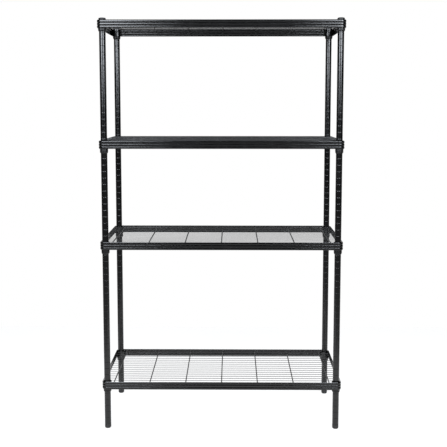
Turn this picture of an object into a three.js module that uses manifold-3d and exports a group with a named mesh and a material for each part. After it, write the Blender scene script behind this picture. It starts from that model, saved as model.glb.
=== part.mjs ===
// Four-tier wire shelving rack: ring-grooved posts carry ribbed-rim wire shelves on tapered split sleeves.
// Millimetres, +Z up, +X to the right, +Y to the back. The origin is the centre of the footprint, on the floor.

import * as THREE from "three";
import { mergeVertices } from "three/addons/utils/BufferGeometryUtils.js";
import Module from "manifold-3d";

const wasm = await Module();
wasm.setup();

// Driving dimensions
const INCH = 25.4;
const POST_DIAMETER = 1 * INCH;
const POST_WALL = 1.2;
const RING_PITCH = 1 * INCH; // the ring grooves on a post, so also the step of a shelf's height
const POSTS_APART_X = 36 * INCH; // between post axes
const POSTS_APART_Y = 16 * INCH;
const TOTAL_HEIGHT = 64 * INCH;
const BOTTOM_SHELF_TOP = 194.4;
const BAY_RINGS = [22, 16, 18]; // ring pitches from one shelf to the next, from the bottom
const WEDGE_SHIFT = [0, 5, -5, 0]; // how far each shelf wedges above or below its whole ring step
const GAP = 0.3; // clearance between pieces that touch
const SIDES = 12; // facets of every round piece, all in the same phase, so coaxial pieces keep their gap

// Shelf rim: a ribbed steel strip bent into a rounded rectangle outside the posts
const RIM_HEIGHT = 31;
const RIM_RIBS = 3;
const RIB_DEPTH = 1.8;
const RIM_CREST_FROM_POST = 20; // from a post's axis to the crest of the ribs
const RIM_INNER_FROM_POST = 17;
const RIM_CORNER_RADIUS = RIM_CREST_FROM_POST; // so each corner runs round its post
const CORNER_SEGMENTS = 4;

// Corner collar: a tapered steel ring welded into each corner of the rim, narrow end up
const COLLAR_TOP_BELOW_RIM = 1;
const COLLAR_BELOW_RIM = 1;
const COLLAR_INNER_TOP = 15;
const COLLAR_INNER_BOTTOM = 16.4;
const COLLAR_WALL = 1.5;

// Split sleeve: two plastic halves round the post, wedged in the collar, with a rounded toe below it
const SLEEVE_BELOW_RIM = 13;
const SLEEVE_DROP = [0, 5, 5, 0]; // how much lower each level's sleeves sit, where the shelf rides high on them
const SLEEVE_TOE_RADIUS = 13.9;
const SLEEVE_SHOULDER_RADIUS = 15.8;
const SLEEVE_TOE_HEIGHT = 4;
const SLEEVE_LINING = 0.4; // between the post and a sleeve's bore
const SEAM = 0.4; // between the two halves

// Wire deck
const DECK_BELOW_RIM = 0.5;
const WIRE_DIAMETER = 2;
const WIRE_COUNT = 16;
const OUTER_WIRE_INSIDE_POST = 6.6; // from a post's axis in to the first wire
const ROD_DIAMETER = 4.5;
const ROD_COUNT = 7;
const ROD_PITCH = 143.1;

// Post ends
const CAP_RADIUS = 14.4;
const CAP_DOME_HEIGHT = 7.2;
const CAP_SHOULDER_HEIGHT = 4;
const PLUG_LENGTH = 14;
const FOOT_HEIGHT = 14.5;
const FOOT_RADIUS = 12.6;
const FOOT_SOLE_RADIUS = 10.6;
const STUD_RADIUS = 5;
const STUD_LENGTH = 30;
const INSERT_FLANGE = 2.2;
const INSERT_LENGTH = 24;

// Worked out from the driving dimensions
const postRadius = POST_DIAMETER / 2;
const boreRadius = postRadius - POST_WALL;
const plugRadius = boreRadius - GAP;
const postX = POSTS_APART_X / 2;
const postY = POSTS_APART_Y / 2;
const insertBottom = FOOT_HEIGHT + GAP;
const postBottom = insertBottom + INSERT_FLANGE + GAP;
const postTop = TOTAL_HEIGHT - CAP_DOME_HEIGHT - GAP;

const ringSteps = [BOTTOM_SHELF_TOP];
for (const rings of BAY_RINGS) {
  ringSteps.push(ringSteps.at(-1) + rings * RING_PITCH);
}
const shelfTops = ringSteps.map((step, level) => step + WEDGE_SHIFT[level]);
const SHELF_NAMES = ["bottom", "second", "third", "top"];

const CORNERS = [
  { name: "front_left", x: -postX, y: -postY },
  { name: "front_right", x: postX, y: -postY },
  { name: "back_left", x: -postX, y: postY },
  { name: "back_right", x: postX, y: postY },
];

const powderCoat = new THREE.MeshStandardMaterial({ color: 0x1b1c1f, roughness: 0.42, metalness: 0.35 });
const blackPlastic = new THREE.MeshStandardMaterial({ color: 0x141415, roughness: 0.55, metalness: 0 });
const blackZinc = new THREE.MeshStandardMaterial({ color: 0x434446, roughness: 0.4, metalness: 0.9 });

// Solids

function toSolid(geometry) {
  const bare = geometry.clone();
  bare.deleteAttribute("normal");
  bare.deleteAttribute("uv");
  const merged = mergeVertices(bare, 1e-4);
  return new wasm.Manifold(
    new wasm.Mesh({
      numProp: 3,
      vertProperties: new Float32Array(merged.attributes.position.array),
      triVerts: new Uint32Array(merged.index.array),
    }),
  );
}

function toGeometry(solid) {
  const mesh = solid.getMesh();
  const geometry = new THREE.BufferGeometry();
  geometry.setAttribute("position", new THREE.BufferAttribute(mesh.vertProperties, mesh.numProp));
  geometry.setIndex(new THREE.BufferAttribute(mesh.triVerts, 1));
  geometry.computeVertexNormals();
  return geometry;
}

// A turned piece on the Z axis. The outline is a list of [radius, height].
function turned(outline) {
  const points = outline.map(([radius, height]) => new THREE.Vector2(radius, height));
  return new THREE.LatheGeometry(points, SIDES).rotateX(Math.PI / 2);
}

// A turned piece with a bore: the outline closes on itself.
function turnedRing(outline) {
  return turned([...outline, outline[0]]);
}

function block(sizeX, sizeY, sizeZ, x, y, z) {
  return new THREE.BoxGeometry(sizeX, sizeY, sizeZ).translate(x, y, z);
}

// The plan of the rim: the rectangle of the post axes, grown by some distance, with round corners.
function rimPlan(growth, cornerRadius) {
  const x = postX + growth;
  const y = postY + growth;
  const shape = new THREE.Shape();
  shape.moveTo(-x + cornerRadius, -y);
  shape.absarc(x - cornerRadius, -y + cornerRadius, cornerRadius, -Math.PI / 2, 0);
  shape.absarc(x - cornerRadius, y - cornerRadius, cornerRadius, 0, Math.PI / 2);
  shape.absarc(-x + cornerRadius, y - cornerRadius, cornerRadius, Math.PI / 2, Math.PI);
  shape.absarc(-x + cornerRadius, -y + cornerRadius, cornerRadius, Math.PI, 1.5 * Math.PI);
  shape.closePath();
  return shape;
}

// Shelf rim and its four collars, welded into one piece. Height 0 is the rim's top edge.
function rimSolid() {
  const ribHeight = RIM_HEIGHT / RIM_RIBS;
  const bevel = ribHeight / 3;
  let rim = null;
  for (let rib = 0; rib < RIM_RIBS; rib += 1) {
    const slab = new THREE.ExtrudeGeometry(rimPlan(RIM_CREST_FROM_POST, RIM_CORNER_RADIUS), {
      depth: ribHeight - 2 * bevel,
      curveSegments: CORNER_SEGMENTS,
      bevelEnabled: true,
      bevelThickness: bevel,
      bevelSize: RIB_DEPTH,
      bevelOffset: -RIB_DEPTH,
      bevelSegments: 1,
    }).translate(0, 0, bevel - (rib + 1) * ribHeight);
    rim = rim ? rim.add(toSolid(slab)) : toSolid(slab);
  }
  const innerCorner = RIM_CORNER_RADIUS - (RIM_CREST_FROM_POST - RIM_INNER_FROM_POST);
  const inside = new THREE.ExtrudeGeometry(rimPlan(RIM_INNER_FROM_POST, innerCorner), {
    depth: RIM_HEIGHT + 2,
    curveSegments: CORNER_SEGMENTS,
    bevelEnabled: false,
  }).translate(0, 0, -RIM_HEIGHT - 1);
  rim = rim.subtract(toSolid(inside));

  const top = -COLLAR_TOP_BELOW_RIM;
  const bottom = -RIM_HEIGHT - COLLAR_BELOW_RIM;
  const collar = turnedRing([
    [COLLAR_INNER_BOTTOM, bottom],
    [COLLAR_INNER_BOTTOM + COLLAR_WALL, bottom],
    [COLLAR_INNER_TOP + COLLAR_WALL, top],
    [COLLAR_INNER_TOP, top],
  ]);
  for (const corner of CORNERS) {
    rim = rim.add(toSolid(collar.clone().translate(corner.x, corner.y, 0)));
  }
  return rim;
}

// Wires from side to side, welded on top of rods from front to back. Height 0 is the rim's top edge.
function deckSolid() {
  const wireTop = -DECK_BELOW_RIM;
  const wireZ = wireTop - WIRE_DIAMETER / 2;
  const rodZ = wireTop - WIRE_DIAMETER - ROD_DIAMETER / 2;
  const outerWireY = postY - OUTER_WIRE_INSIDE_POST;
  const wirePitch = (2 * outerWireY) / (WIRE_COUNT - 1);
  const fullLength = 2 * (postX + RIM_INNER_FROM_POST - GAP);
  const collarRadius = COLLAR_INNER_BOTTOM + COLLAR_WALL;
  const outerLength = 2 * (postX - collarRadius - GAP);
  const rodLength = 2 * (postY + RIM_INNER_FROM_POST - GAP);

  let deck = null;
  for (let rod = 0; rod < ROD_COUNT; rod += 1) {
    const x = (rod - (ROD_COUNT - 1) / 2) * ROD_PITCH;
    const solid = toSolid(block(ROD_DIAMETER, rodLength, ROD_DIAMETER, x, 0, rodZ));
    deck = deck ? deck.add(solid) : solid;
  }
  for (let wire = 0; wire < WIRE_COUNT; wire += 1) {
    const y = -outerWireY + wire * wirePitch;
    const isOuter = wire === 0 || wire === WIRE_COUNT - 1;
    const length = isOuter ? outerLength : fullLength;
    deck = deck.add(toSolid(block(length, WIRE_DIAMETER, WIRE_DIAMETER, 0, y, wireZ)));
  }
  return deck;
}

// One half of a split sleeve, on the side given by -1 or 1 along X. Height 0 is the rim's top edge.
function sleeveHalfSolid(side) {
  const bore = postRadius + SLEEVE_LINING;
  const top = -COLLAR_TOP_BELOW_RIM;
  const collarBottom = -RIM_HEIGHT - COLLAR_BELOW_RIM;
  const toe = -RIM_HEIGHT - SLEEVE_BELOW_RIM;
  const whole = turnedRing([
    [bore, toe],
    [SLEEVE_TOE_RADIUS, toe],
    [SLEEVE_SHOULDER_RADIUS, toe + SLEEVE_TOE_HEIGHT],
    [COLLAR_INNER_BOTTOM - GAP, collarBottom],
    [COLLAR_INNER_TOP - GAP, top],
    [bore, top],
  ]);
  const reach = 2 * COLLAR_INNER_BOTTOM;
  const half = block(reach, 2 * reach, 2 * reach, side * (reach / 2 + SEAM / 2), 0, toe);
  return toSolid(whole).intersect(toSolid(half));
}

function postTube() {
  return turnedRing([
    [boreRadius, postBottom],
    [postRadius, postBottom],
    [postRadius, postTop],
    [boreRadius, postTop],
  ]);
}

// A push-in cap: a low dome over the post's end, with a plug inside the tube.
function capPiece() {
  const base = postTop + GAP;
  return turned([
    [0, base - PLUG_LENGTH],
    [plugRadius - 1, base - PLUG_LENGTH],
    [plugRadius, base - PLUG_LENGTH + 3],
    [plugRadius, base],
    [CAP_RADIUS, base],
    [CAP_RADIUS, base + CAP_SHOULDER_HEIGHT],
    [CAP_RADIUS * 0.72, base + CAP_DOME_HEIGHT - 0.8],
    [0, base + CAP_DOME_HEIGHT],
  ]);
}

// A flanged plug in the post's lower end, bored for the levelling foot's stud.
function insertPiece() {
  const bore = STUD_RADIUS + GAP;
  return turnedRing([
    [bore, insertBottom],
    [postRadius, insertBottom],
    [postRadius, insertBottom + INSERT_FLANGE],
    [plugRadius, insertBottom + INSERT_FLANGE],
    [plugRadius, insertBottom + INSERT_FLANGE + INSERT_LENGTH],
    [bore, insertBottom + INSERT_FLANGE + INSERT_LENGTH],
  ]);
}

// A rounded foot on a stud. It stands on the floor when it is screwed all the way in.
function footPiece() {
  return turned([
    [0, 0],
    [FOOT_SOLE_RADIUS, 0],
    [FOOT_RADIUS, 3.5],
    [FOOT_RADIUS, FOOT_HEIGHT - 1.5],
    [FOOT_RADIUS - 1.5, FOOT_HEIGHT],
    [STUD_RADIUS, FOOT_HEIGHT],
    [STUD_RADIUS, FOOT_HEIGHT + STUD_LENGTH],
    [0, FOOT_HEIGHT + STUD_LENGTH],
  ]);
}

// Assembly

const rack = new THREE.Group();

function addPiece(parent, name, geometry, material) {
  const mesh = new THREE.Mesh(geometry, material);
  mesh.name = name;
  parent.add(mesh);
}

for (const corner of CORNERS) {
  const place = new THREE.Group();
  place.position.set(corner.x, corner.y, 0);
  addPiece(place, `post_${corner.name}`, postTube(), powderCoat);
  addPiece(place, `cap_${corner.name}`, capPiece(), blackPlastic);
  addPiece(place, `insert_${corner.name}`, insertPiece(), blackZinc);
  addPiece(place, `foot_${corner.name}`, footPiece(), blackPlastic);
  rack.add(place);
}

const rimGeometry = toGeometry(rimSolid());
const deckGeometry = toGeometry(deckSolid());
const sleeveHalves = [
  { side: -1, geometry: toGeometry(sleeveHalfSolid(-1)) },
  { side: 1, geometry: toGeometry(sleeveHalfSolid(1)) },
];

shelfTops.forEach((shelfTop, level) => {
  const shelf = new THREE.Group();
  shelf.position.set(0, 0, shelfTop);
  addPiece(shelf, `rim_${SHELF_NAMES[level]}`, rimGeometry, powderCoat);
  addPiece(shelf, `deck_${SHELF_NAMES[level]}`, deckGeometry, powderCoat);
  for (const corner of CORNERS) {
    const place = new THREE.Group();
    place.position.set(corner.x, corner.y, -SLEEVE_DROP[level]);
    for (const { side, geometry } of sleeveHalves) {
      const half = side * corner.x > 0 ? "outer" : "inner";
      addPiece(place, `sleeve_${SHELF_NAMES[level]}_${corner.name}_${half}`, geometry, blackPlastic);
    }
    shelf.add(place);
  }
  rack.add(shelf);
});

export default rack;
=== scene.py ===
import math
import random

import bmesh
import bpy
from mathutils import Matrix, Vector


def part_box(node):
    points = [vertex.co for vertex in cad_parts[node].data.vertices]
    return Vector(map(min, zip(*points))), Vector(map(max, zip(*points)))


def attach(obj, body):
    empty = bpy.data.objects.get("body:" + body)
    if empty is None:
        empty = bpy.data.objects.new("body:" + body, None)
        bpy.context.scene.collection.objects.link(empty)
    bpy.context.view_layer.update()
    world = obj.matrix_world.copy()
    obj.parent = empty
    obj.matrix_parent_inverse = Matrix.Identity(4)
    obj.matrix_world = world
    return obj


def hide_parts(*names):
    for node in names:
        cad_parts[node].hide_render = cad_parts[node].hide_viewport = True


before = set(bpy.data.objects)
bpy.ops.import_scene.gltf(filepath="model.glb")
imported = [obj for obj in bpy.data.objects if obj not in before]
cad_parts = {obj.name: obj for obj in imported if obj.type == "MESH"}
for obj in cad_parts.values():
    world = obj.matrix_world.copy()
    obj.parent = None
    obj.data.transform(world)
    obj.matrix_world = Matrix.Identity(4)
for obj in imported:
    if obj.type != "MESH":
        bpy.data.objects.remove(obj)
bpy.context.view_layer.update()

# The pieces are in millimetres up to make_piece, which turns them into metres. The studio is in metres.
MM = 0.001
MERGE_DISTANCE = 0.001  # points closer than this become one
SMOOTH_UP_TO = math.radians(38)  # a sharper edge than this shows as an edge
BRACE_REACH = 0.4

LEVELS = ["bottom", "second", "third", "top"]
CORNERS = ["front_left", "front_right", "back_left", "back_right"]

POST_SIDES = 48
POST_WALL = 1.2
POST_CHAMFER = 0.3
RING_PITCH = 25.4
GROOVE_RISE = 2.3  # the grooves are this far above whole pitches from the post's lower end
GROOVE_WIDTH = 2.0
GROOVE_DEPTH = 0.28
GROOVE_SHAPE = ((-0.5, 0), (-0.3, 0.7), (0, 1), (0.3, 0.7), (0.5, 0))  # shares of its width and of its depth

PLUG_RADIUS = 11.2  # a cap's plug, and the part of an insert that is inside the post
CAP_RISE = 7.2  # from the post's top to the cap's top
INSERT_BORE = 5.3
INSERT_FLANGE = 2.2

FOOT_SIDES = 24
FOOT_SHOULDER = 14.5
STUD_RADIUS = 5
STUD_TIP = 1.2  # how much narrower the stud's end is
THREAD_PITCH = 1.5
THREAD_DEPTH = 0.6
THREAD_STEPS = 6  # rings of points for each turn
THREAD_START = 0.3  # above the shoulder
THREAD_END = 1  # below the stud's end

SLEEVE_PLAY = 0.4  # between a post and the bore of a sleeve
SLEEVE_LIP_RADIUS = 13.9
SLEEVE_TOP_RADIUS = 14.7
SLEEVE_LIP_HEIGHT = 4
SLEEVE_WIDEST_HEIGHT = 11.9
SLEEVE_STEPS = 22

STRIP_THICKNESS = 1.2  # the rim's steel strip
STRIP_VALLEY = 18.2  # from a post's axis to the outside of the strip between two ribs
RIB_DEPTH = 1.8
RIBS = 3
RIB_FLATNESS = 4
RIB_STATIONS = (0, 0.05, 0.12, 0.2, 0.32, 0.5, 0.68, 0.8, 0.88, 0.95)  # shares of a rib's height
CORNER_STEPS = 14
CORNER_BRACE = 3  # from the start of a corner to the next points on the straight side

COLLAR_BELOW_STRIP = 1
COLLAR_BELOW_TOP = 1
COLLAR_WALL_BELOW = (16.4, 17.9)  # inside and outside radius at its lower end
COLLAR_WALL_ABOVE = (15.0, 16.5)
COLLAR_FILLET = 0.4
COLLAR_WELD_DEPTHS = (6, 16, 26)
COLLAR_WELD_ANGLES = (8, 82)
COLLAR_WELD_REACH = 17.4

WIRE_RADIUS = 1.0
ROD_RADIUS = 2.25
WIRES = 16
RODS = 7
ROD_PITCH = 143.1
OUTER_WIRE_INSIDE_POST = 6.6
COLLAR_AT_WIRES = 16.6  # the collar's radius where the outermost wires end on it
WIRE_BITE = 0.2  # how far a wire's end goes into the rim
ROD_BITE = 0.1
WELD_SINK = 0.3  # how far a wire sinks into the rod that it is welded to
WIRE_SWAY = 0.12  # to either side, halfway between two rods
WIRE_SAG = 0.05

# Weld nuggets: the half-sizes along X, Y and Z.
COLLAR_WELD = (1.2, 1.2, 3.2)
ROD_END_WELD = (2.9, 0.9, 2.6)
CROSSING_WELD = (1.7, 1.75, 0.75)
WIRE_END_WELD = (0.7, 1.6, 0.95)
ROD_END_WELD_INSET = 0.6
WIRE_END_WELD_INSET = 0.4
NUGGET_SIDES = 8
NUGGET_ROWS = 5
NUGGET_LUMPS = (0.85, 1.08)  # the least and most of its even radius
BAR_CHAMFER = 0.3  # as a share of the bar's radius


def box_mm(node):
    """The lowest and highest corners of a CAD node, in millimetres."""
    low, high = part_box(node)
    return low / MM, high / MM


def axis_and_radius(low, high):
    """The place of a round box's upright axis, and its radius across X."""
    return (low.x + high.x) / 2, (low.y + high.y) / 2, (high.x - low.x) / 2


# Meshes


class Shell:
    """The vertices and faces of one piece, gathered from closed surfaces."""

    def __init__(self):
        self.verts = []
        self.faces = []

    def add_rings(self, rings, rings_closed=False):
        """Skins neighbouring rings of points. All of them have the same number of points."""
        first = len(self.verts)
        count = len(rings[0])
        for ring in rings:
            self.verts += ring
        gaps = len(rings) if rings_closed else len(rings) - 1
        for r in range(gaps):
            low = first + r * count
            high = first + ((r + 1) % len(rings)) * count
            for p in range(count):
                q = (p + 1) % count
                self.faces.append([low + p, low + q, high + q, high + p])
        return first

    def cap(self, first, count, flip):
        """Closes a ring of points with one face."""
        face = list(range(first, first + count))
        self.faces.append(face[::-1] if flip else face)


def rounded(points, steps=4):
    """An outline of (radius, height, fillet) with its corners rounded, as a list of (radius, height)."""
    out = []
    count = len(points)
    for i, (radius, height, fillet) in enumerate(points):
        if not fillet:
            out.append((radius, height))
            continue
        corner = Vector((radius, height))
        before = (Vector(points[i - 1][:2]) - corner).normalized()
        after = (Vector(points[(i + 1) % count][:2]) - corner).normalized()
        half = before.angle(after) / 2
        centre = corner + (before + after).normalized() * fillet / math.sin(half)
        start = corner + before * fillet / math.tan(half) - centre
        end = corner + after * fillet / math.tan(half) - centre
        first = math.atan2(start.y, start.x)
        turn = (math.atan2(end.y, end.x) - first + math.pi) % (2 * math.pi) - math.pi
        for step in range(steps + 1):
            angle = first + turn * step / steps
            out.append((centre.x + fillet * math.cos(angle), centre.y + fillet * math.sin(angle)))
    return out


def braced(outline, closed):
    """The outline with extra points just inside the ends of its long flats, so that the flats shade flat."""
    out = []
    count = len(outline)
    for i, point in enumerate(outline):
        out.append(point)
        if i == count - 1 and not closed:
            break
        start, end = Vector(point), Vector(outline[(i + 1) % count])
        length = (end - start).length
        if length > 4 * BRACE_REACH:
            out.append(tuple(start.lerp(end, BRACE_REACH / length)))
            out.append(tuple(end.lerp(start, BRACE_REACH / length)))
    return out


def turned(shell, outline, x, y, sides, closed):
    """A turned surface round the vertical line through x, y."""
    outline = braced(outline, closed)
    rings = []
    for radius, height in outline:
        ring = []
        for side in range(sides):
            angle = 2 * math.pi * side / sides
            ring.append((x + radius * math.cos(angle), y + radius * math.sin(angle), height))
        rings.append(ring)
    shell.add_rings(rings, rings_closed=closed)


def bar(shell, points, radius, sides):
    """A round bar through points that run mostly along X or mostly along Y, with chamfered ends."""
    along_x = abs(points[-1][0] - points[0][0]) > abs(points[-1][1] - points[0][1])
    chamfer = radius * BAR_CHAMFER
    start, end = Vector(points[0]), Vector(points[-1])
    way = (end - start).normalized()
    stations = [(start, radius - chamfer), (start + way * chamfer, radius)]
    stations += [(Vector(point), radius) for point in points[1:-1]]
    stations += [(end - way * chamfer, radius), (end, radius - chamfer)]
    rings = []
    for centre, size in stations:
        ring = []
        for side in range(sides):
            angle = 2 * math.pi * (side + 0.5) / sides
            across, up = size * math.cos(angle), size * math.sin(angle)
            offset = (0, across, up) if along_x else (across, 0, up)
            ring.append(tuple(centre + Vector(offset)))
        rings.append(ring)
    first = shell.add_rings(rings)
    shell.cap(first, sides, flip=True)
    shell.cap(first + sides * (len(rings) - 1), sides, flip=False)


def nugget(shell, centre, radii, dice):
    """A weld nugget: a small lumpy ellipsoid."""
    rings = []
    for row in range(NUGGET_ROWS + 1):
        rise = math.pi * (row / NUGGET_ROWS - 0.5)
        ring = []
        for side in range(NUGGET_SIDES):
            angle = 2 * math.pi * side / NUGGET_SIDES
            lump = 1 if row in (0, NUGGET_ROWS) else dice.uniform(*NUGGET_LUMPS)
            ring.append((
                centre[0] + radii[0] * lump * math.cos(rise) * math.cos(angle),
                centre[1] + radii[1] * lump * math.cos(rise) * math.sin(angle),
                centre[2] + radii[2] * math.sin(rise),
            ))
        rings.append(ring)
    shell.add_rings(rings)


def make_piece(name, shell, material):
    """An object from a shell, in metres, with its doubled points merged and its faces turned outwards."""
    mesh = bpy.data.meshes.new(name)
    mesh.from_pydata([(x * MM, y * MM, z * MM) for x, y, z in shell.verts], [], shell.faces)
    work = bmesh.new()
    work.from_mesh(mesh)
    bmesh.ops.remove_doubles(work, verts=work.verts, dist=MERGE_DISTANCE * MM)
    bmesh.ops.recalc_face_normals(work, faces=work.faces)
    work.to_mesh(mesh)
    work.free()
    mesh.shade_smooth()
    mesh.set_sharp_from_angle(angle=SMOOTH_UP_TO)
    mesh.materials.append(material)
    piece = bpy.data.objects.new(name, mesh)
    bpy.context.scene.collection.objects.link(piece)
    return piece


def stand_for(piece, node, body):
    """Puts a piece in the place of a CAD node, on a body of the rack."""
    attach(piece, body)
    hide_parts(node)


# Materials


SHADE_SPREAD = 0.15  # as a share of the base colour
SHADE_SCALE = 160
GLOSS_SPREAD = 0.03
GLOSS_SCALE = 14
NOISE_RANGE = (0.3, 0.7)  # where nearly all of a noise's values are


def finish_material(name, base, roughness, grain_scale, grain_depth, metallic=0.0, specular=0.5):
    """A shader with a fine grain, small changes of shade, and a slow change of gloss over the surface."""
    material = bpy.data.materials.new(name)
    material.use_nodes = True
    nodes, links = material.node_tree.nodes, material.node_tree.links
    shader = nodes["Principled BSDF"]
    shader.inputs["Metallic"].default_value = metallic
    shader.inputs["Specular IOR Level"].default_value = specular
    place = nodes.new("ShaderNodeTexCoord")

    def noise(scale, detail):
        node = nodes.new("ShaderNodeTexNoise")
        node.inputs["Scale"].default_value = scale
        node.inputs["Detail"].default_value = detail
        links.new(place.outputs["Object"], node.inputs["Vector"])
        return node

    def ramp(source, low, high):
        node = nodes.new("ShaderNodeMapRange")
        node.inputs["From Min"].default_value = NOISE_RANGE[0]
        node.inputs["From Max"].default_value = NOISE_RANGE[1]
        node.inputs["To Min"].default_value = low
        node.inputs["To Max"].default_value = high
        links.new(source.outputs["Fac"], node.inputs["Value"])
        return node

    slow = noise(GLOSS_SCALE, 3)
    middling = noise(SHADE_SCALE, 4)
    grain = noise(grain_scale, 2)

    shade = nodes.new("ShaderNodeMix")
    shade.data_type = "RGBA"
    shade.inputs["A"].default_value = [value * (1 - SHADE_SPREAD) for value in base] + [1]
    shade.inputs["B"].default_value = [value * (1 + SHADE_SPREAD) for value in base] + [1]
    links.new(ramp(middling, 0, 1).outputs["Result"], shade.inputs["Factor"])
    links.new(shade.outputs["Result"], shader.inputs["Base Color"])
    gloss = ramp(slow, roughness - GLOSS_SPREAD, roughness + GLOSS_SPREAD)
    links.new(gloss.outputs["Result"], shader.inputs["Roughness"])

    bump = nodes.new("ShaderNodeBump")
    bump.inputs["Strength"].default_value = 1.0
    bump.inputs["Distance"].default_value = grain_depth * MM
    links.new(grain.outputs["Fac"], bump.inputs["Height"])
    links.new(bump.outputs["Normal"], shader.inputs["Normal"])
    return material


# Base colour, roughness, scale of the grain, and depth of the grain in millimetres.
POST_COAT = finish_material("post_powder_coat", (0.0022, 0.0022, 0.0023), 0.19, 650, 0.03)
RIM_COAT = finish_material("rim_powder_coat", (0.0022, 0.0022, 0.0023), 0.19, 650, 0.03)
WIRE_COAT = finish_material("wire_powder_coat", (0.008, 0.008, 0.0083), 0.3, 700, 0.03)
CAP_PLASTIC = finish_material("cap_plastic", (0.007, 0.007, 0.0073), 0.42, 1500, 0.03)
SLEEVE_PLASTIC = finish_material("sleeve_plastic", (0.003, 0.003, 0.0031), 0.4, 1500, 0.03, specular=0.35)
FOOT_PLASTIC = finish_material("foot_plastic", (0.012, 0.012, 0.0123), 0.5, 1500, 0.03)
INSERT_STEEL = finish_material("insert_black_zinc", (0.06, 0.06, 0.062), 0.38, 1200, 0.01, metallic=1.0)


# Posts


def post_outline(low, high, radius):
    """A tube's outline, with a shallow ring groove at every pitch."""
    outline = [(radius - POST_CHAMFER, low), (radius, low + POST_CHAMFER)]
    height = low + RING_PITCH + GROOVE_RISE
    while height < high - GROOVE_WIDTH:
        for across, depth in GROOVE_SHAPE:
            outline.append((radius - GROOVE_DEPTH * depth, height + across * GROOVE_WIDTH))
        height += RING_PITCH
    outline += [(radius, high - POST_CHAMFER), (radius - POST_CHAMFER, high)]
    outline += [(radius - POST_WALL, high), (radius - POST_WALL, low)]
    return outline


def make_post(corner):
    low, high = box_mm(f"post_{corner}")
    x, y, radius = axis_and_radius(low, high)
    shell = Shell()
    turned(shell, post_outline(low.z, high.z, radius), x, y, POST_SIDES, closed=True)
    piece = make_piece(f"grooved_post_{corner}", shell, POST_COAT)
    stand_for(piece, f"post_{corner}", "posts")


def make_cap(corner):
    low, high = box_mm(f"cap_{corner}")
    x, y, radius = axis_and_radius(low, high)
    base = high.z - CAP_RISE
    shell = Shell()
    outline = rounded([
        (0, low.z, 0),
        (PLUG_RADIUS - 1, low.z, 0.3),
        (PLUG_RADIUS, low.z + 3, 0.5),
        (PLUG_RADIUS, base, 0),
        (radius - 0.3, base, 0.25),
        (radius, base + 3.2, 1.2),
        (radius * 0.9, base + 5.6, 1.8),
        (radius * 0.62, high.z - 0.35, 3),
        (0, high.z, 0),
    ])
    turned(shell, outline, x, y, POST_SIDES, closed=False)
    piece = make_piece(f"domed_cap_{corner}", shell, CAP_PLASTIC)
    stand_for(piece, f"cap_{corner}", "posts")


def make_insert(corner):
    low, high = box_mm(f"insert_{corner}")
    x, y, flange = axis_and_radius(low, high)
    shell = Shell()
    outline = rounded([
        (INSERT_BORE, low.z, 0.2),
        (flange, low.z, 0.35),
        (flange, low.z + INSERT_FLANGE, 0.35),
        (PLUG_RADIUS, low.z + INSERT_FLANGE, 0),
        (PLUG_RADIUS, high.z, 0.4),
        (INSERT_BORE, high.z, 0.2),
    ])
    turned(shell, outline, x, y, POST_SIDES, closed=True)
    piece = make_piece(f"threaded_insert_{corner}", shell, INSERT_STEEL)
    stand_for(piece, f"insert_{corner}", "posts")


def foot_rings(low, high, radius):
    """The rings of a foot and its stud. A ring has a radius for each side, and a height."""
    shoulder = low + FOOT_SHOULDER
    glide = rounded([
        (0, low, 0),
        (radius - 2, low, 0.8),
        (radius, low + 3.5, 2.2),
        (radius, shoulder, 1.2),
        (STUD_RADIUS - 0.5, shoulder, 0),
    ])
    rings = [([size] * FOOT_SIDES, height) for size, height in glide]
    # The stud's thread: the radius rises and falls along a helix.
    rows = int((high - shoulder - THREAD_END) / THREAD_PITCH * THREAD_STEPS)
    for row in range(rows + 1):
        sizes = []
        for side in range(FOOT_SIDES):
            phase = (row / THREAD_STEPS - side / FOOT_SIDES) % 1
            sizes.append(STUD_RADIUS - THREAD_DEPTH * abs(2 * phase - 1))
        rings.append((sizes, shoulder + THREAD_START + row * THREAD_PITCH / THREAD_STEPS))
    rings.append(([STUD_RADIUS - STUD_TIP] * FOOT_SIDES, high))
    rings.append(([0] * FOOT_SIDES, high))
    return rings


def make_foot(corner):
    low, high = box_mm(f"foot_{corner}")
    x, y, radius = axis_and_radius(low, high)
    placed = []
    for sizes, height in foot_rings(low.z, high.z, radius):
        ring = []
        for side, size in enumerate(sizes):
            angle = 2 * math.pi * side / FOOT_SIDES
            ring.append((x + size * math.cos(angle), y + size * math.sin(angle), height))
        placed.append(ring)
    shell = Shell()
    shell.add_rings(placed)
    piece = make_piece(f"levelling_foot_{corner}", shell, FOOT_PLASTIC)
    stand_for(piece, f"foot_{corner}", f"leveller_{corner}")


# Sleeves


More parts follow.
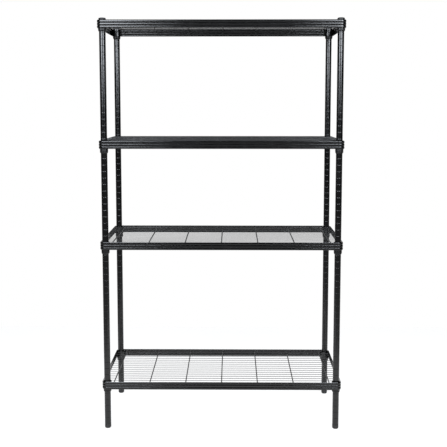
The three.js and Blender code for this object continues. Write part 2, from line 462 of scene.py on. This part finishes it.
def make_sleeve_half(level, corner, half):
    """One plastic half of a split sleeve. It stops short of the seam at the middle of the post."""
    node = f"sleeve_{level}_{corner}_{half}"
    low, high = box_mm(node)
    post_low, post_high = box_mm(f"post_{corner}")
    x, y, post_radius = axis_and_radius(post_low, post_high)
    side = 1 if (low.x + high.x) / 2 > x else -1
    seam = low.x - x if side > 0 else x - high.x
    bore = post_radius + SLEEVE_PLAY
    widest = (high.y - low.y) / 2
    outline = rounded([
        (bore, low.z, 0.3),
        (SLEEVE_LIP_RADIUS, low.z, 0.9),
        (widest - 0.3, low.z + SLEEVE_LIP_HEIGHT, 1.6),
        (widest - 0.02, low.z + SLEEVE_WIDEST_HEIGHT, 0.3),
        (SLEEVE_TOP_RADIUS, high.z, 0.3),
        (bore, high.z, 0.2),
    ])
    outline = braced(outline, closed=True)
    rings = []
    for step in range(SLEEVE_STEPS + 1):
        ring = []
        for radius, height in outline:
            edge = math.asin(seam / radius)
            angle = -math.pi / 2 + edge + (math.pi - 2 * edge) * step / SLEEVE_STEPS
            ring.append((x + side * radius * math.cos(angle), y + radius * math.sin(angle), height))
        rings.append(ring)
    shell = Shell()
    first = shell.add_rings(rings)
    count = len(outline)
    shell.cap(first, count, flip=False)
    shell.cap(first + count * SLEEVE_STEPS, count, flip=True)
    piece = make_piece(f"split_{node}", shell, SLEEVE_PLASTIC)
    stand_for(piece, node, "posts")


# Shelves


def rib_radius(depth, height):
    """How far the strip's outside is from a post's axis, at a depth below the rim's top edge."""
    phase = (depth * RIBS / height) % 1
    return STRIP_VALLEY + RIB_DEPTH * (1 - abs(2 * phase - 1) ** RIB_FLATNESS)


def strip_outline(height):
    """The strip's section as a closed list of (distance from post axis, height above the top edge)."""
    edge = STRIP_THICKNESS / 2
    outside = [(rib_radius(height - edge, height), edge - height)]
    for rib in range(RIBS, 0, -1):
        for share in RIB_STATIONS:
            depth = (rib - share) * height / RIBS
            if edge < depth < height - edge:
                outside.append((rib_radius(depth, height), -depth))
    outside.append((rib_radius(edge, height), -edge))
    inside = [(radius - STRIP_THICKNESS, rise) for radius, rise in reversed(outside)]

    def edge_round(start, turn):
        centre = start[0] - edge
        points = []
        for step in (1, 2, 3):
            angle = math.pi * step / 4
            points.append((centre + edge * math.cos(angle), start[1] + turn * edge * math.sin(angle)))
        return points

    top = edge_round(outside[-1], 1)
    bottom = edge_round(outside[0], -1)[::-1]
    return outside + top + inside + bottom


def post_axes():
    """How far the posts' axes are from the rack's middle, along X and along Y."""
    half_x, half_y, _ = axis_and_radius(*box_mm("post_back_right"))
    return half_x, half_y


def rim_stations(half_x, half_y):
    """Points and outward directions round the rim, with close pairs where each straight side meets a corner."""
    stations = []
    for corner in range(4):
        x = half_x if corner in (0, 3) else -half_x
        y = half_y if corner in (0, 1) else -half_y
        first = corner * math.pi / 2
        start = (math.cos(first), math.sin(first))
        finish = (math.cos(first + math.pi / 2), math.sin(first + math.pi / 2))
        stations.append((x - finish[0] * CORNER_BRACE, y - finish[1] * CORNER_BRACE, *start))
        for step in range(CORNER_STEPS + 1):
            angle = first + math.pi / 2 * step / CORNER_STEPS
            stations.append((x, y, math.cos(angle), math.sin(angle)))
        stations.append((x - start[0] * CORNER_BRACE, y - start[1] * CORNER_BRACE, *finish))
    return stations


def make_rim(level, dice):
    low, high = box_mm(f"rim_{level}")
    half_x, half_y = post_axes()
    top = high.z
    height = top - low.z - COLLAR_BELOW_STRIP
    shell = Shell()
    section = strip_outline(height)
    rings = []
    for x, y, out_x, out_y in rim_stations(half_x, half_y):
        rings.append([(x + out_x * reach, y + out_y * reach, top + rise) for reach, rise in section])
    shell.add_rings(rings, rings_closed=True)

    inside_below, outside_below = COLLAR_WALL_BELOW
    inside_above, outside_above = COLLAR_WALL_ABOVE
    collar = rounded([
        (inside_below, low.z, COLLAR_FILLET),
        (outside_below, low.z, COLLAR_FILLET),
        (outside_above, top - COLLAR_BELOW_TOP, COLLAR_FILLET),
        (inside_above, top - COLLAR_BELOW_TOP, COLLAR_FILLET),
    ], steps=3)
    for side_x in (-1, 1):
        for side_y in (-1, 1):
            x, y = side_x * half_x, side_y * half_y
            turned(shell, collar, x, y, POST_SIDES, closed=True)
            # The collar is welded to the strip near both ends of the corner, in three places each.
            for depth in COLLAR_WELD_DEPTHS:
                for angle in COLLAR_WELD_ANGLES:
                    out_x = side_x * COLLAR_WELD_REACH * math.cos(math.radians(angle))
                    out_y = side_y * COLLAR_WELD_REACH * math.sin(math.radians(angle))
                    nugget(shell, (x + out_x, y + out_y, top - depth), COLLAR_WELD, dice)
    piece = make_piece(f"ribbed_rim_{level}", shell, RIM_COAT)
    stand_for(piece, f"rim_{level}", f"shelf_{level}")


def make_deck(level, dice):
    _, high = box_mm(f"deck_{level}")
    rim_low, rim_high = box_mm(f"rim_{level}")
    half_x, half_y = post_axes()
    strip_height = rim_high.z - rim_low.z - COLLAR_BELOW_STRIP
    wire_z = high.z - WIRE_RADIUS
    rod_z = high.z - 2 * WIRE_RADIUS - ROD_RADIUS
    wire_reach = rib_radius(rim_high.z - wire_z, strip_height) - STRIP_THICKNESS + WIRE_BITE
    rod_reach = rib_radius(rim_high.z - rod_z, strip_height) - STRIP_THICKNESS + ROD_BITE
    outer_y = half_y - OUTER_WIRE_INSIDE_POST
    outer_reach = -math.sqrt(COLLAR_AT_WIRES**2 - OUTER_WIRE_INSIDE_POST**2)
    rod_x = [(rod - (RODS - 1) / 2) * ROD_PITCH for rod in range(RODS)]
    shell = Shell()

    for x in rod_x:
        end = half_y + rod_reach
        bar(shell, [(x, -end, rod_z), (x, 0, rod_z), (x, end, rod_z)], ROD_RADIUS, sides=14)
        for side in (-1, 1):
            nugget(shell, (x, side * (end - ROD_END_WELD_INSET), rod_z), ROD_END_WELD, dice)

    for wire in range(WIRES):
        y = -outer_y + wire * 2 * outer_y / (WIRES - 1)
        outermost = wire in (0, WIRES - 1)
        end = half_x + (outer_reach if outermost else wire_reach)
        points = [(-end, y, wire_z)]
        for index, x in enumerate(rod_x):
            points.append((x, y, wire_z - WELD_SINK))
            if index < RODS - 1:
                sway = dice.uniform(-WIRE_SWAY, WIRE_SWAY)
                points.append((x + ROD_PITCH / 2, y + sway, wire_z - WIRE_SAG))
        points.append((end, y, wire_z))
        bar(shell, points, WIRE_RADIUS, sides=10)
        for x in rod_x:
            nugget(shell, (x, y, wire_z - WELD_SINK - CROSSING_WELD[2]), CROSSING_WELD, dice)
        for side in (-1, 1):
            nugget(shell, (side * (end - WIRE_END_WELD_INSET), y, wire_z), WIRE_END_WELD, dice)

    piece = make_piece(f"wire_deck_{level}", shell, WIRE_COAT)
    stand_for(piece, f"deck_{level}", f"shelf_{level}")


RIM_SEED = 100  # each shelf adds its number to these
DECK_SEED = 200

for corner_name in CORNERS:
    make_post(corner_name)
    make_cap(corner_name)
    make_insert(corner_name)
    make_foot(corner_name)

for number, level_name in enumerate(LEVELS):
    make_rim(level_name, random.Random(RIM_SEED + number))
    make_deck(level_name, random.Random(DECK_SEED + number))
    for corner_name in CORNERS:
        for half_name in ("inner", "outer"):
            make_sleeve_half(level_name, corner_name, half_name)


# Studio: a white floor and background, a large soft light on each side of the camera, and a weak one overhead

FLOOR_HALF = 1.3
FLOOR_SHADE = 0.25
FLOOR_GLOW = 0.88  # with the lamps on it, the floor comes out white
SOFTBOX_TINT = (0.88, 0.93, 1.0)
SIDE_TARGET = (0, 0, 1.4)
DARK_WORLD = 0.02  # the world's strength as a light, outside its bright parts
# A bright part's axis, where along it the world starts to brighten, where that ends, and the strength there.
WORLD_FADES = (("Z", -0.1, -0.3, 0.5), ("Y", 0.55, 0.9, 0.9))
WHITE = (1, 1, 1, 1)

CAMERA_PLACE = (0.0396, -3.4449, 1.3091)
CAMERA_TILT = math.radians(84)  # six degrees down from level
CAMERA_TURN = 0.0098
CAMERA_LENS = 67.211
CAMERA_SENSOR = 36
CAMERA_SHIFT = -0.0785


def make_floor():
    mesh = bpy.data.meshes.new("studio_floor")
    corners = [(-1, -1), (1, -1), (1, 1), (-1, 1)]
    mesh.from_pydata([(FLOOR_HALF * x, FLOOR_HALF * y, 0) for x, y in corners], [], [[0, 1, 2, 3]])
    material = bpy.data.materials.new("studio_floor")
    material.use_nodes = True
    nodes, links = material.node_tree.nodes, material.node_tree.links
    shader = nodes["Principled BSDF"]
    shader.inputs["Base Color"].default_value = (FLOOR_SHADE, FLOOR_SHADE, FLOOR_SHADE, 1)
    shader.inputs["Roughness"].default_value = 0.9
    shader.inputs["Specular IOR Level"].default_value = 0.1
    shader.inputs["Emission Color"].default_value = WHITE
    shader.inputs["Emission Strength"].default_value = FLOOR_GLOW
    mesh.materials.append(material)
    floor = bpy.data.objects.new("studio_floor", mesh)
    bpy.context.scene.collection.objects.link(floor)


def make_softbox(name, place, target, width, height, power):
    """A rectangular lamp that faces the target. The camera doesn't see it."""
    lamp = bpy.data.lights.new(name, "AREA")
    lamp.color = SOFTBOX_TINT
    lamp.shape = "RECTANGLE"
    lamp.size = width
    lamp.size_y = height
    lamp.energy = power
    box = bpy.data.objects.new(name, lamp)
    box.location = place
    box.rotation_euler = (Vector(target) - Vector(place)).to_track_quat("-Z", "Y").to_euler()
    box.visible_camera = False
    bpy.context.scene.collection.objects.link(box)


def make_world():
    """White where the camera sees it. As a light, it is bright below and behind the rack, and dark elsewhere."""
    world = bpy.data.worlds.new("studio")
    bpy.context.scene.world = world
    world.use_nodes = True
    nodes, links = world.node_tree.nodes, world.node_tree.links
    nodes.clear()
    seen = nodes.new("ShaderNodeBackground")
    seen.inputs["Strength"].default_value = 1.0
    seen.inputs["Color"].default_value = WHITE
    lit = nodes.new("ShaderNodeBackground")
    lit.inputs["Color"].default_value = WHITE
    place = nodes.new("ShaderNodeTexCoord")
    split = nodes.new("ShaderNodeSeparateXYZ")
    links.new(place.outputs["Generated"], split.inputs["Vector"])
    strongest = nodes.new("ShaderNodeMath")
    strongest.operation = "MAXIMUM"
    for socket, (axis, start, full, strength) in zip(strongest.inputs, WORLD_FADES):
        fade = nodes.new("ShaderNodeMapRange")
        fade.inputs["From Min"].default_value = start
        fade.inputs["From Max"].default_value = full
        fade.inputs["To Min"].default_value = DARK_WORLD
        fade.inputs["To Max"].default_value = strength
        links.new(split.outputs[axis], fade.inputs["Value"])
        links.new(fade.outputs["Result"], socket)
    links.new(strongest.outputs["Value"], lit.inputs["Strength"])
    path = nodes.new("ShaderNodeLightPath")
    mix = nodes.new("ShaderNodeMixShader")
    out = nodes.new("ShaderNodeOutputWorld")
    links.new(path.outputs["Is Camera Ray"], mix.inputs["Fac"])
    links.new(lit.outputs["Background"], mix.inputs[1])
    links.new(seen.outputs["Background"], mix.inputs[2])
    links.new(mix.outputs["Shader"], out.inputs["Surface"])


make_floor()
make_world()
make_softbox("left_softbox", place=(-1.32, -2.35, 2.1), target=SIDE_TARGET, width=1.7, height=1.25, power=92)
make_softbox("right_softbox", place=(1.33, -2.35, 2.1), target=SIDE_TARGET, width=1.4, height=1.25, power=86)
make_softbox("top_softbox", place=(0, 0.2, 3.4), target=(0, 0, 1), width=1.6, height=1.0, power=6)

scene = bpy.context.scene
scene.view_settings.view_transform = "Standard"
scene.view_settings.look = "None"

camera_data = bpy.data.cameras.new("camera")
camera_data.sensor_width = CAMERA_SENSOR
camera_data.lens = CAMERA_LENS
camera_data.shift_y = CAMERA_SHIFT
camera = bpy.data.objects.new("camera", camera_data)
camera.location = CAMERA_PLACE
camera.rotation_euler = (CAMERA_TILT, 0, CAMERA_TURN)
scene.collection.objects.link(camera)
scene.camera = camera
